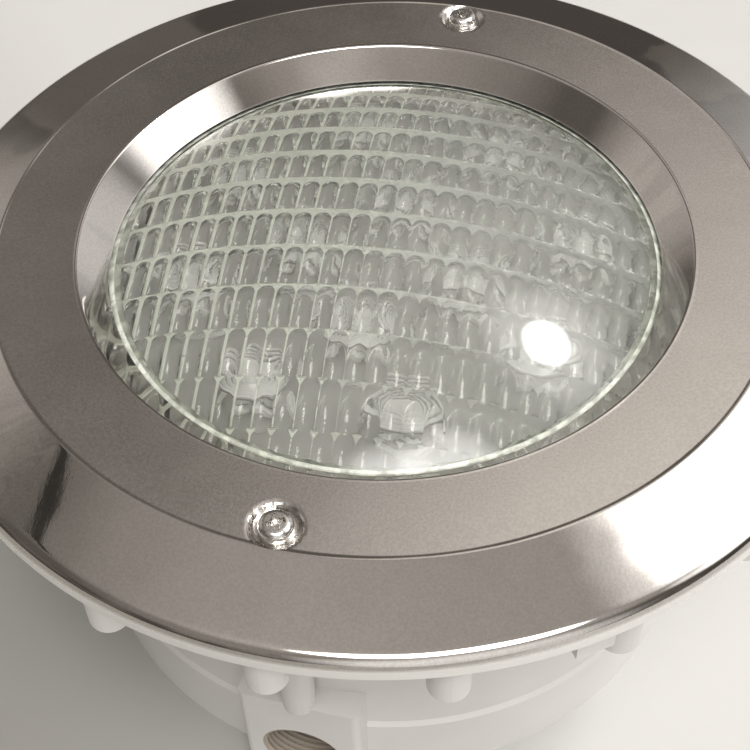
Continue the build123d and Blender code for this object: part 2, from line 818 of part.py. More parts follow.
with BuildPart() as leads:
    with BuildSketch(Plane.XY.offset(board_top)):
        with Locations(*wire_holes):
            Circle(lead_radius)
    extrude(amount=plate_top - board_top)
leads.part.label = "lead_wires"
export_step(leads.part, "parts/lead_wires.step")
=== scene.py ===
import math
import bmesh
import bpy
from mathutils import Matrix, Vector


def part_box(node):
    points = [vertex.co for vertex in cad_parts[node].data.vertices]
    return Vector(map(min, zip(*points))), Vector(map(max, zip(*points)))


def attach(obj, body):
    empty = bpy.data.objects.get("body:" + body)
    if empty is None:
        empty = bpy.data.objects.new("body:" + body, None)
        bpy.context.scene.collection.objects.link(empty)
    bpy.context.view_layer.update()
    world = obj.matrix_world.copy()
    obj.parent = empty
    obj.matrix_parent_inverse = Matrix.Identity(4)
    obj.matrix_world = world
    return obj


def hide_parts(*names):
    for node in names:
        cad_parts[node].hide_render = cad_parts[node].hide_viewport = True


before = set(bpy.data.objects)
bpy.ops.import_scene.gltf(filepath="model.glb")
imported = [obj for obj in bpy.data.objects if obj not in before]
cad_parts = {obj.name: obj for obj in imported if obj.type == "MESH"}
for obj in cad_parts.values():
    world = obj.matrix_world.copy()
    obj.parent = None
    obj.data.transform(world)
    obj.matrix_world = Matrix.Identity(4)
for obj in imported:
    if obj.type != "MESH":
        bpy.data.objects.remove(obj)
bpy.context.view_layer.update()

MM = 0.001


# ---- Places and sizes, with the frame's boxes as the reference ----

ring_low, ring_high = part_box("face_ring")
lens_low, lens_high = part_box("front_lens")
screw_low, screw_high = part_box("face_screw_near")
rim_radius = min(-ring_low.x, -ring_low.y, ring_high.x, ring_high.y) - 0.01 * MM
skirt_bottom = ring_low.z
screw_circle = -(screw_low.y + screw_high.y) / 2
lens_radius = lens_high.x
lens_crest = lens_high.z
lens_foot = lens_low.z

sheet = 1.0 * MM
ring_steps = 900
ring_span = 0.9 * MM                   # longest straight cell along the ring's section
ring_bends = [1.4 * MM, 3.0 * MM, 4.5 * MM]
lip = (85.5 * MM, 132.4 * MM)          # lower edge of the ring's inner bevel
bevel = (94.1 * MM, 141.4 * MM)        # crease between the bevel and the flat band
crease = (119.0 * MM, 142.0 * MM)      # crease between the flat band and the outer slope
rim_height = 134.7 * MM
dimple_floor = 139.8 * MM
dimple_radius = 6.0 * MM
dimple_mouth = 7.4 * MM
screw_hole = 2.8 * MM
hole_steps = 48
dome_radius = 190 * MM
glass = 4.5 * MM
glass_bore = 84 * MM
port_height = 18 * MM
port_radius = 13.2 * MM
port_depths = (-95 * MM, -91 * MM)     # the painted shade in the port fades out between these places along Y


def direction(azimuth, elevation):
    """Azimuth 0 is towards -Y, 90 towards +X; elevation is above the horizon."""
    a, e = math.radians(azimuth), math.radians(elevation)
    return (math.sin(a) * math.cos(e), -math.cos(a) * math.cos(e), math.sin(e))


# ---- Camera ----

camera_azimuth, camera_elevation = 15.4, 43.69     # degrees, from the middle of the flat band's plane
camera_distance = 431.6 * MM
camera_roll, camera_pan, camera_tilt = 1.5, 0.372, 5.856
sensor_width, focal_length = 36, 67.2              # millimetres
nearest_view = 10 * MM


def place_camera():
    """At the near right of the object, above it, turned so that the lamp's face sits high in the frame."""
    back = Vector(direction(camera_azimuth, camera_elevation))
    azimuth = math.radians(camera_azimuth)
    right = Vector((math.cos(azimuth), math.sin(azimuth), 0))
    look = Matrix((right, back.cross(right), back))
    turn = Matrix.Rotation(math.radians(camera_tilt), 3, "X")
    turn = turn @ Matrix.Rotation(math.radians(camera_pan), 3, "Y").transposed()
    turn = turn @ Matrix.Rotation(math.radians(camera_roll), 3, "Z") @ look
    data = bpy.data.cameras.new("camera")
    data.sensor_width = sensor_width
    data.lens = focal_length
    data.clip_start = nearest_view
    camera = bpy.data.objects.new("camera", data)
    bpy.context.collection.objects.link(camera)
    place = Vector((0, 0, bevel[1])) + back * camera_distance
    camera.matrix_world = Matrix.Translation(place) @ turn.transposed().to_4x4()
    bpy.context.scene.camera = camera


# ---- Node helpers ----

class Tree:
    """Short calls for the nodes that materials and the world both use."""

    def ramp(self, source, low, high, out_low=0.0, out_high=1.0):
        node = self.tree.nodes.new("ShaderNodeMapRange")
        node.interpolation_type = "SMOOTHSTEP"
        for name, value in (("From Min", low), ("From Max", high), ("To Min", out_low), ("To Max", out_high)):
            node.inputs[name].default_value = value
        self.tree.links.new(source, node.inputs["Value"])
        return node.outputs["Result"]

    def math(self, operation, first, second=0.5):
        node = self.tree.nodes.new("ShaderNodeMath")
        node.operation = operation
        for socket, value in zip(node.inputs, (first, second)):
            if isinstance(value, (int, float)):
                socket.default_value = value
            else:
                self.tree.links.new(value, socket)
        return node.outputs[0]

    def length(self, first, second):
        square = self.math("ADD", self.math("POWER", first, 2), self.math("POWER", second, 2))
        return self.math("SQRT", square)


class Nodes(Tree):
    """A material's node tree, in object coordinates."""

    def __init__(self, name):
        self.material = bpy.data.materials.new(name)
        self.material.use_nodes = True
        self.tree = self.material.node_tree
        self.shader = self.tree.nodes["Principled BSDF"]
        self.coords = self.tree.nodes.new("ShaderNodeTexCoord").outputs["Object"]

    def set(self, **sockets):
        for name, value in sockets.items():
            self.shader.inputs[name.replace("_", " ")].default_value = value

    def link(self, output, name):
        self.tree.links.new(output, self.shader.inputs[name])

    def xyz(self):
        split = self.tree.nodes.new("ShaderNodeSeparateXYZ")
        self.tree.links.new(self.coords, split.inputs[0])
        return split.outputs

    def radius(self):
        """Distance from the lamp's axis, in metres."""
        x, y, _ = self.xyz()
        return self.length(x, y)

    def noise(self, scale, detail=3.0, roughness=0.5, stretch=None):
        node = self.tree.nodes.new("ShaderNodeTexNoise")
        node.inputs["Scale"].default_value = scale
        node.inputs["Detail"].default_value = detail
        node.inputs["Roughness"].default_value = roughness
        source = self.coords
        if stretch:
            mapping = self.tree.nodes.new("ShaderNodeMapping")
            mapping.inputs["Scale"].default_value = stretch
            self.tree.links.new(source, mapping.inputs["Vector"])
            source = mapping.outputs["Vector"]
        self.tree.links.new(source, node.inputs["Vector"])
        return node.outputs["Fac"]

    def blend(self, factor, first, second):
        """A number between two others."""
        node = self.tree.nodes.new("ShaderNodeMix")
        for socket, value in zip(node.inputs, (factor, None, first, second)):
            if value is not None:
                self.tree.links.new(value, socket)
        return node.outputs[0]

    def mix(self, factor, first, second):
        """A colour between two others."""
        node = self.tree.nodes.new("ShaderNodeMix")
        node.data_type = "RGBA"
        for index, value in ((0, factor), (6, first), (7, second)):
            if isinstance(value, tuple):
                node.inputs[index].default_value = (*value, 1)
            else:
                self.tree.links.new(value, node.inputs[index])
        return node.outputs[2]

    def bump(self, height, distance, below=None):
        node = self.tree.nodes.new("ShaderNodeBump")
        node.inputs["Distance"].default_value = distance
        self.tree.links.new(height, node.inputs["Height"])
        if below is not None:
            self.tree.links.new(below, node.inputs["Normal"])
        return node.outputs["Normal"]


# ---- Materials ----

def face_steel():
    """Pressed stainless: mirror-polished bevels, and a flat band with a fine satin grain."""
    m = Nodes("polished_steel")
    radius, height = m.radius(), m.xyz()[2]
    inside = m.ramp(radius, bevel[0] - 0.5 * MM, bevel[0] + 1.1 * MM)
    outside = m.ramp(radius, crease[0] - 1.0 * MM, crease[0] + 0.6 * MM, 1, 0)
    band = m.math("MULTIPLY", inside, outside)
    grain = m.noise(2600, 2, 0.6)
    cloud = m.noise(45, 4, 0.55)
    satin = m.math("ADD", m.ramp(grain, 0.3, 0.7, 0.15, 0.24), m.ramp(cloud, 0.3, 0.7, -0.008, 0.008))
    polish = m.ramp(cloud, 0.3, 0.75, 0.03, 0.07)
    # painted light: the skirt is made pale, rougher and less metallic, so it shows brighter than bare steel
    # would
    painted_pale_skirt = m.ramp(height, rim_height - 3.5 * MM, rim_height - 1.7 * MM, 1, 0)
    rough = m.math("MAXIMUM", m.blend(band, polish, satin), m.math("MULTIPLY", painted_pale_skirt, 0.38))
    m.link(rough, "Roughness")
    speck = m.ramp(m.noise(1300, 2), 0.3, 0.7, 0, 0.7)
    speck = m.math("ADD", speck, m.ramp(cloud, 0.35, 0.7, 0, 0.3))
    sheet_tone = m.mix(speck, (0.59, 0.565, 0.54), (0.69, 0.665, 0.635))
    m.link(m.mix(painted_pale_skirt, sheet_tone, (0.86, 0.85, 0.825)), "Base Color")
    m.link(m.math("SUBTRACT", 1.0, m.math("MULTIPLY", painted_pale_skirt, 0.6)), "Metallic")
    calm = m.math("SUBTRACT", 1.0, m.math("MULTIPLY", band, 0.8))
    waves = m.bump(m.math("MULTIPLY", m.noise(22, 2, 0.5), calm), 0.0006)
    scratches = m.bump(m.noise(900, 2, 0.7, stretch=(1, 0.08, 1)), 0.000004, below=waves)
    m.link(m.bump(m.math("MULTIPLY", grain, band), 0.000012, below=scratches), "Normal")
    return m.material


def turned_steel():
    m = Nodes("screw_steel")
    grain = m.noise(1800, 3)
    m.link(m.ramp(grain, 0.3, 0.7, 0.14, 0.30), "Roughness")
    tone = m.ramp(m.noise(700, 2), 0.3, 0.7)
    m.link(m.mix(tone, (0.60, 0.58, 0.56), (0.72, 0.71, 0.69)), "Base Color")
    m.link(m.bump(grain, 0.00001), "Normal")
    m.set(Metallic=1.0)
    return m.material


def moulded(name, dark, light, roughness, grain_scale=500):
    """Moulded plastic: slightly uneven colour and gloss, and the faint ripple of a mould face."""
    m = Nodes(name)
    cloud = m.noise(30, 4, 0.55)
    grain = m.noise(grain_scale, 3)
    m.link(m.mix(m.ramp(cloud, 0.3, 0.7), dark, light), "Base Color")
    m.link(m.ramp(grain, 0.3, 0.7, roughness - 0.06, roughness + 0.06), "Roughness")
    ripple = m.bump(m.noise(40, 2), 0.0002)
    m.link(m.bump(grain, 0.000015, below=ripple), "Normal")
    return m.material


def white_abs():
    """Glossy white, with painted shade making it duller and browner down in the threaded port."""
    m = Nodes("white_abs")
    x, y, z = m.xyz()
    # painted shade: a darker brown colour inside the threaded port, round its axis and cut off along Y
    across = m.length(x, m.math("SUBTRACT", z, port_height))
    port_shade = m.ramp(across, port_radius, port_radius + 0.2 * MM, 1, 0)
    port_shade = m.math("MULTIPLY", port_shade, m.ramp(y, port_depths[0], port_depths[1], 1, 0))
    white = m.mix(m.ramp(m.noise(30, 4, 0.55), 0.3, 0.7), (0.70, 0.69, 0.67), (0.74, 0.73, 0.71))
    m.link(m.mix(port_shade, white, (0.40, 0.35, 0.29)), "Base Color")
    m.link(m.ramp(m.noise(60, 3), 0.2, 0.8, 0.28, 0.31), "Roughness")
    m.link(m.bump(m.noise(25, 2), 0.00015), "Normal")
    return m.material


def metal(name, dark, light, roughness, grain_scale=1200):
    m = Nodes(name)
    grain = m.noise(grain_scale, 3)
    m.link(m.mix(m.ramp(m.noise(90, 3), 0.3, 0.7), dark, light), "Base Color")
    m.link(m.ramp(grain, 0.3, 0.7, roughness - 0.07, roughness + 0.07), "Roughness")
    m.link(m.bump(grain, 0.00001), "Normal")
    m.set(Metallic=1.0)
    return m.material


def pressed_glass():
    m = Nodes("pressed_glass")
    flow = m.noise(120, 2)
    m.link(m.mix(m.ramp(flow, 0.3, 0.7), (0.955, 0.975, 0.945), (0.975, 0.985, 0.965)), "Base Color")
    m.link(m.bump(flow, 0.00002), "Normal")
    m.set(Transmission_Weight=1.0, Roughness=0.0, IOR=1.5)
    return m.material


def prism_glass():
    """The lens's inner face: clear in each cell, with painted light in pale green where steep ribs and steps
    gather light, and a painted glare haze towards the right.
    """
    m = Nodes("prism_glass")
    x, y, _ = m.xyz()
    cos, sin = math.cos(prism_turn), math.sin(prism_turn)
    u = m.math("ADD", m.math("MULTIPLY", x, cos), m.math("MULTIPLY", y, sin))
    v = m.math("SUBTRACT", m.math("MULTIPLY", y, cos), m.math("MULTIPLY", x, sin))
    flute = m.math("FRACT", m.math("ADD", m.math("DIVIDE", u, flute_pitch), 0.5))
    row = m.math("FRACT", m.math("DIVIDE", m.math("SUBTRACT", v, row_start), row_pitch))
    off = m.math("ABSOLUTE", m.math("SUBTRACT", m.math("MULTIPLY", flute, 2.0), 1.0))
    # painted light: on the steps it shows widest at the far side and hardly at the near one; on the ribs it
    # shows at the left
    arch = m.math("MULTIPLY", m.math("POWER", off, 3.0), 0.24)
    step = m.math("ADD", m.math("SUBTRACT", row, m.ramp(y, -0.075, 0.06, 1.02, 0.74)), arch)
    steps = m.ramp(step, -0.015, 0.02)
    rib = m.math("SUBTRACT", off, m.ramp(x, -0.075, 0.045, 0.76, 1.03))
    ribs = m.ramp(rib, -0.02, 0.03)
    lattice = m.math("MAXIMUM", steps, ribs)
    # the painted light on the ribs and steps fades towards the right, where a painted glare haze takes over
    side = m.ramp(x, -0.03, 0.06, 1.0, 0.30)
    painted_glare_haze = m.ramp(x, -0.05, 0.06, 0.05, 0.30)
    lattice = m.math("MAXIMUM", m.math("MULTIPLY", lattice, side), painted_glare_haze)
    # painted light and painted glare haze together, unevenly strong, lighten the colour and take away
    # transmission
    painted_light = m.math("MULTIPLY", lattice, m.ramp(m.noise(700, 3), 0.2, 0.7, 0.75, 1))
    m.link(m.mix(painted_light, (0.975, 0.985, 0.965), (0.74, 0.77, 0.675)), "Base Color")
    m.link(m.math("SUBTRACT", 1.0, m.math("MULTIPLY", painted_light, 0.85)), "Transmission Weight")
    m.link(m.math("MULTIPLY", painted_light, 0.35), "Roughness")
    m.link(m.bump(m.noise(500, 2), 0.00010), "Normal")
    m.set(IOR=1.5)
    return m.material


def rim_glass():
    """The plain rim, edge and bore of the lens, pale green and uneven."""
    m = Nodes("rim_glass")
    cloud = m.noise(90, 3)
    m.link(m.mix(m.ramp(cloud, 0.35, 0.65), (0.70, 0.735, 0.635), (0.84, 0.86, 0.79)), "Base Color")
    m.link(m.ramp(m.noise(260, 2), 0.35, 0.65, 0.25, 0.65), "Transmission Weight")
    m.link(m.ramp(cloud, 0.3, 0.7, 0.06, 0.3), "Roughness")
    m.link(m.bump(m.noise(240, 2), 0.0003), "Normal")
    m.set(IOR=1.5)
    return m.material


def clear_acrylic():
    """Optics that are milky low down and clearer towards the top, with painted shade darkening the grooves
    between their rings.
    """
    m = Nodes("clear_acrylic")
    flow = m.noise(300, 2)
    height = m.xyz()[2]
    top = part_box("led_optics")[1].z
    white = m.mix(m.ramp(flow, 0.3, 0.7), (0.95, 0.94, 0.92), (0.99, 0.985, 0.975))
    floor, rim = top - groove_depth, top - optic_rim
    # painted shade: the grooves between the rings are darkened
    groove = m.ramp(height, floor + 0.05 * MM, floor + 0.30 * MM, 1, 0)
    groove = m.math("MULTIPLY", groove, m.ramp(height, rim - 0.05 * MM, rim + 0.05 * MM))
    m.link(m.mix(groove, white, (0.42, 0.41, 0.39)), "Base Color")
    m.link(m.ramp(m.noise(900, 2), 0.3, 0.7, 0.02, 0.08), "Roughness")
    clear = m.ramp(height, lens_foot - 2.2 * MM, lens_foot + 3.5 * MM, 0.05, 0.38)
    m.link(clear, "Transmission Weight")
    m.link(m.bump(flow, 0.00003), "Normal")
    m.set(IOR=1.49)
    return m.material


def clear_silicone():
    m = Nodes("clear_silicone")
    cloud = m.noise(150, 3)
    m.link(m.mix(m.ramp(cloud, 0.3, 0.7), (0.66, 0.69, 0.61), (0.74, 0.765, 0.69)), "Base Color")
    m.link(m.ramp(m.noise(800, 2), 0.3, 0.7, 0.3, 0.45), "Roughness")
    m.link(m.bump(cloud, 0.00003), "Normal")
    m.set(Transmission_Weight=0.3, IOR=1.41)
    return m.material


def assign(material, *nodes):
    for node in nodes:
        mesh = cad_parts[node].data
        mesh.materials.clear()
        mesh.materials.append(material)


def dress_frame():
    steel = turned_steel()
    rubber = moulded("black_rubber", (0.012, 0.012, 0.012), (0.03, 0.03, 0.03), 0.62, 900)
    shell = moulded("grey_shell", (0.52, 0.53, 0.53), (0.58, 0.59, 0.59), 0.35)
    brass = metal("turned_brass", (0.62, 0.44, 0.18), (0.78, 0.60, 0.30), 0.28)
    assign(steel, "face_screw_near", "face_screw_far", "clamp_screws", "clip_screws", "rear_cap_screws")
    assign(steel, "plate_screws", "board_screws", "lamp_clips", "screw_washer_near", "screw_washer_far")
    assign(rubber, "flange_gasket", "rear_cap_seal", "gland_seal")
    assign(clear_silicone(), "lens_gasket")
    assign(white_abs(), "niche_housing", "clamp_ring")
    assign(moulded("grey_carrier", (0.30, 0.31, 0.32), (0.36, 0.37, 0.38), 0.48), "lamp_carrier")
    assign(shell, "lamp_shell", "rear_cap")
    assign(brass, "screw_inserts", "gland_body", "gland_nut", "board_posts")
    assign(moulded("grey_plate", (0.33, 0.32, 0.305), (0.38, 0.37, 0.35), 0.35), "led_plate")
    assign(moulded("phosphor", (0.80, 0.74, 0.50), (0.88, 0.83, 0.62), 0.4, 2500), "led_emitters")
    assign(moulded("white_holder", (0.86, 0.85, 0.83), (0.92, 0.91, 0.89), 0.3), "optic_holders")
    assign(moulded("thermal_pad", (0.30, 0.38, 0.46), (0.36, 0.44, 0.52), 0.7), "thermal_pad")
    assign(metal("cast_aluminium", (0.50, 0.51, 0.52), (0.62, 0.63, 0.64), 0.45, 800), "heat_sink")
    assign(moulded("green_board", (0.02, 0.12, 0.05), (0.03, 0.17, 0.08), 0.35, 1500), "driver_board")
    assign(moulded("ferrite", (0.03, 0.03, 0.03), (0.06, 0.06, 0.06), 0.55, 1500), "driver_inductor")
    assign(moulded("sleeve", (0.02, 0.025, 0.05), (0.03, 0.035, 0.07), 0.25), "driver_capacitors")
    assign(moulded("epoxy", (0.02, 0.02, 0.02), (0.04, 0.04, 0.04), 0.5, 1800), "driver_rectifier")
    assign(moulded("blue_nylon", (0.03, 0.11, 0.30), (0.05, 0.15, 0.38), 0.4), "driver_terminals")
    assign(moulded("white_silicone", (0.70, 0.69, 0.66), (0.78, 0.77, 0.74), 0.5), "lead_wires")


# ---- Mesh helpers ----

def mesh_object(name, points, faces):
    mesh = bpy.data.meshes.new(name)
    mesh.from_pydata(points, [], faces)
    mesh.update()
    thing = bpy.data.objects.new(name, mesh)
    bpy.context.collection.objects.link(thing)
    return thing


def revolved(name, profile, steps, closed=False):
    """A solid turned about Z. The profile runs (radius, height); a point at radius 0 closes an end."""
    points, rings = [], []
    for radius, height in profile:
        if radius == 0:
            rings.append([len(points)])
            points.append((0, 0, height))
            continue
        rings.append(list(range(len(points), len(points) + steps)))
        for step in range(steps):
            angle = 2 * math.pi * step / steps
            points.append((radius * math.cos(angle), radius * math.sin(angle), height))
    faces = []
    pairs = zip(rings, rings[1:] + rings[:1]) if closed else zip(rings, rings[1:])
    for first, second in pairs:
        for step in range(steps):
            after = (step + 1) % steps
            if len(first) == 1:
                faces.append((first[0], second[step], second[after]))
            elif len(second) == 1:
                faces.append((first[step], second[0], first[after]))
            else:
                faces.append((first[step], second[step], second[after], first[after]))
    return mesh_object(name, points, faces)


def face_out(thing):
    shape = bmesh.new()
    shape.from_mesh(thing.data)
    bmesh.ops.recalc_face_normals(shape, faces=shape.faces)
    shape.to_mesh(thing.data)
    shape.free()


def cut(thing, tool, operation="DIFFERENCE"):
    """Applies a boolean and removes the tool."""
    face_out(thing)
    face_out(tool)
    modifier = thing.modifiers.new("cut", "BOOLEAN")
    modifier.operation = operation
    modifier.object = tool
    modifier.solver = "MANIFOLD"
    evaluated = thing.evaluated_get(bpy.context.evaluated_depsgraph_get())
    mesh = bpy.data.meshes.new_from_object(evaluated)
    thing.modifiers.clear()
    thing.data = mesh
    bpy.data.objects.remove(tool)
    return thing


def smooth_by_angle(thing, degrees):
    limit = math.radians(degrees)
    shape = bmesh.new()
    shape.from_mesh(thing.data)
    for face in shape.faces:
        face.smooth = True
    for edge in shape.edges:
        edge.smooth = len(edge.link_faces) == 2 and edge.calc_face_angle(0) <= limit
    shape.to_mesh(thing.data)
    shape.free()


def finish_piece(thing, material, body, node):
    thing.data.materials.clear()
    thing.data.materials.append(material)
    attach(thing, body)
    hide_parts(node)
    return thing


# ---- Face ring, pressed from sheet ----

def bent_path(corners, bends, span, arc_steps):
    """Points and outward normals along a path with rounded corners; straight runs are cut to about span."""
    corners = [Vector(corner) for corner in corners]
    stops = [(corners[0], None)]
    for before, corner, after, bend in zip(corners, corners[1:], corners[2:], bends):
        first, second = (before - corner).normalized(), (after - corner).normalized()
        half = first.angle(second) / 2
        centre = corner + (first + second).normalized() * bend / math.sin(half)
        reach = bend / math.tan(half)
        start, end = corner + first * reach, corner + second * reach
        stops.append((start, (centre, end)))
    stops.append((corners[-1], None))
    path = []
    place = stops[0][0]
    for stop, arc in stops[1:]:
        run = stop - place
        normal = Vector((-run.y, run.x)).normalized()
        pieces = max(1, round(run.length / span))
        path += [(place + run * step / pieces, normal) for step in range(pieces + 1)]
        if arc:
            centre, end = arc
            swing = (stop - centre).angle_signed(end - centre)
            for step in range(1, arc_steps):
                turned = (stop - centre).copy()
                turned.rotate(Matrix.Rotation(-swing * step / arc_steps, 2))
                side = 1 if turned.dot(normal) > 0 else -1
                path.append((centre + turned, turned.normalized() * side))
            place = end
    return path


def ring_piece():
    corners = [lip, bevel, crease, (rim_radius, rim_height), (rim_radius, skirt_bottom)]
    path = bent_path(corners, ring_bends, ring_span, 10)
    outer = [tuple(point) for point, normal in path]
    inner = [tuple(point - normal * sheet) for point, normal in reversed(path)]
    ring = revolved("pressed_ring", outer + inner, ring_steps, closed=True)
    depth = bevel[1] - dimple_floor
    for vertex in ring.data.vertices:
        place = vertex.co
        away = min(math.hypot(place.x, place.y - screw_circle), math.hypot(place.x, place.y + screw_circle))
        share = min(max((dimple_mouth - away) / (dimple_mouth - dimple_radius), 0), 1)
        place.z -= depth * share * share * (3 - 2 * share)
    under, over = rim_height, crease[1] + 8 * MM
    outline = [(0, under), (screw_hole, under), (screw_hole, over), (0, over)]
    for side in (-1, 1):
        drill = revolved("drill", outline, hole_steps)
        drill.data.transform(Matrix.Translation((0, side * screw_circle, 0)))
        cut(ring, drill)
    smooth_by_angle(ring, 40)
    return finish_piece(ring, face_steel(), "lamp_unit", "face_ring")


# ---- Lens with its prisms ----

flute_pitch = 6.0 * MM
row_pitch = 14.7 * MM
row_start = 1.0 * MM
prism_turn = math.radians(6)       # the lamp sits a little turned in its ring
prism_radius = 81.2 * MM
glass_least = 3.3 * MM
flute_rise = 1.15 * MM
step_rise = 2.2 * MM
step_power = 2.2
dish_rise = 1.0 * MM
dish_end = 0.45                    # share of a row
flute_cells = 12
lens_rings, lens_steps, disc_steps = 40, 256, 180
row_shares = (0.003, 0.12, 0.24, 0.34, 0.43, 0.51, 0.58, 0.64, 0.69, 0.74, 0.79, 0.84, 0.89, 0.94, 0.985)


def outer_dome(radius):
    return lens_crest - dome_radius + math.sqrt(dome_radius**2 - radius**2)


def glass_depth(u, v):
    """Thickness of the glass: flutes, dished at each row's near end and met by a step at its far end."""
    flute = (u / flute_pitch + 0.5) % 1
    row = ((v - row_start) / row_pitch) % 1
    bulge = flute_rise * (1 - (2 * flute - 1) ** 2)
    step = step_rise * row**step_power
    dish = dish_rise * max(1 - row / dish_end, 0) ** 2
    return glass_least + max(bulge + dish, step)


def prism_rows():
    """Row sample places: closer together towards a step, where the glass drops back to the next row."""
    count = math.ceil(prism_radius / row_pitch) + 1
    return [row_start + (row + share) * row_pitch for row in range(-count, count) for share in row_shares]


def prism_cutter():
    """Closed solid whose top is the lens's inner face, cut to the prisms' circle."""
    flutes = math.ceil(prism_radius / flute_pitch) + 1
    across = [flute_pitch * (step / flute_cells - flutes) for step in range(2 * flutes * flute_cells + 1)]
    along = prism_rows()
    cos, sin = math.cos(prism_turn), math.sin(prism_turn)
    floor = lens_foot - 5 * MM
    points = []
    for v in along:
        for u in across:
            x, y = u * cos - v * sin, u * sin + v * cos
            radius = min(math.hypot(x, y), lens_radius)
            points.append((x, y, outer_dome(radius) - glass_depth(u, v)))
    wide, high = len(across), len(along)
    faces = [
        (row * wide + col, row * wide + col + 1, (row + 1) * wide + col + 1, (row + 1) * wide + col)
        for row in range(high - 1)
        for col in range(wide - 1)
    ]
    rim = list(range(wide))
    rim += [row * wide + wide - 1 for row in range(1, high)]
    rim += [(high - 1) * wide + col for col in range(wide - 2, -1, -1)]
    rim += [row * wide for row in range(high - 2, 0, -1)]
    base = len(points)
    points += [(points[index][0], points[index][1], floor) for index in rim]
    count = len(rim)
    for index in range(count):
        after = (index + 1) % count
        faces.append((rim[after], rim[index], base + index, base + after))
    faces.append(tuple(base + index for index in reversed(range(count))))
    slab = mesh_object("prism_slab", points, faces)
    outline = [(0, floor - MM), (prism_radius, floor - MM), (prism_radius, lens_crest), (0, lens_crest)]
    disc = revolved("prism_disc", outline, disc_steps)
    return cut(slab, disc, "INTERSECT")


def lens_piece():
    radii = [lens_radius * step / lens_rings for step in range(lens_rings + 1)]
    outer = [(radius, outer_dome(radius)) for radius in radii]
    inner_top = outer_dome(glass_bore) - glass
    profile = outer + [
        (lens_radius - 0.3 * MM, lens_foot),
        (glass_bore + 0.3 * MM, lens_foot),
        (glass_bore, inner_top),
        (prism_radius - MM, inner_top),
        (0, inner_top),
    ]
    lens = revolved("prism_lens", profile, lens_steps)
    lens = cut(lens, prism_cutter())
    smooth_by_angle(lens, 28)
    finish_piece(lens, pressed_glass(), "lamp_unit", "front_lens")
    lens.data.materials.append(prism_glass())
    lens.data.materials.append(rim_glass())
    for face in lens.data.polygons:
        radius = math.hypot(face.center.x, face.center.y)
        depth = outer_dome(min(radius, lens_radius)) - face.center.z
        prisms = radius < prism_radius - 0.05 * MM
        if depth > glass_least / 2 or radius > glass_bore - 0.2 * MM:
            face.material_index = 1 if prisms else 2
    return lens


# ---- LED optics ----

optic_radius = 10.4 * MM
optic_rim = 1.4 * MM                           # thickness of the flange round the top
optic_rings = 4
optic_steps = 64
groove_depth = 0.9 * MM
ridge_drop = 0.12 * MM
outer_circle, outer_start = 60 * MM, 20.0      # eight optics
inner_circle, inner_start = 26 * MM, -2.5      # four optics


def optic_profile(low, high):
    """A clear cone with a ringed top, a small lens in its middle and a well over the emitter."""
    rim, groove, ridge = high - optic_rim, high - groove_depth, high - ridge_drop
    profile = [(0, low + 4.1 * MM), (2.2 * MM, low + 3.9 * MM), (3.0 * MM, low + 3.2 * MM), (3.0 * MM, low)]
    profile += [(5.2 * MM, low), (7.2 * MM, low + 3.4 * MM), (8.7 * MM, low + 6.8 * MM), (9.6 * MM, rim)]
    profile += [(optic_radius, rim), (optic_radius, high), (optic_radius - 0.7 * MM, high)]
    outer, inner = optic_radius - 0.7 * MM, 3.4 * MM
    pitch = (outer - inner) / optic_rings
    for ring in range(optic_rings):
        edge = outer - ring * pitch
        profile += [(edge - 0.15 * MM, groove), (edge - pitch * 0.5, groove + 0.35 * MM)]
        profile += [(edge - pitch * 0.85, ridge), (edge - pitch, ridge)]
    for share in (0.75, 0.5, 0.25):
        profile.append((inner * share, groove + 0.75 * MM * (1 - share**2)))
    return profile + [(0, high - 0.15 * MM)]


def optics_piece():
    low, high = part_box("led_optics")
    model = revolved("optic", optic_profile(low.z, high.z), optic_steps)
    face_out(model)
    places = [(outer_circle, outer_start + 45 * index) for index in range(8)]
    places += [(inner_circle, inner_start + 90 * index) for index in range(4)]
    points, faces = [], []
    for radius, angle in places:
        turn = math.radians(angle)
        start = len(points)
        points += [
            (vertex.co.x + radius * math.cos(turn), vertex.co.y + radius * math.sin(turn), vertex.co.z)
            for vertex in model.data.vertices
        ]
        faces += [tuple(start + index for index in face.vertices) for face in model.data.polygons]
    bpy.data.objects.remove(model)
    optics = mesh_object("ringed_optics", points, faces)
    smooth_by_angle(optics, 30)
    return finish_piece(optics, clear_acrylic(), "lamp_unit", "led_optics")


# ---- Floor and light ----

floor_size = 6.0                   # half a side, in metres


def make_floor():
    m = Nodes("pale_floor")
    x, y, _ = m.xyz()
    # painted shade: the floor darkens towards the near left
    light = m.ramp(m.math("ADD", x, m.math("MULTIPLY", y, 0.9)), -0.30, 0.02)
    m.link(m.mix(light, (0.285, 0.278, 0.258), (0.49, 0.482, 0.47)), "Base Color")
    m.link(m.ramp(m.noise(60, 2), 0.3, 0.7, 0.45, 0.55), "Roughness")
    corners = [(floor_size * x, floor_size * y, 0) for x, y in ((-1, -1), (1, -1), (1, 1), (-1, 1))]
    floor = mesh_object("floor", corners, [(0, 1, 2, 3)])
    floor.data.materials.append(m.material)


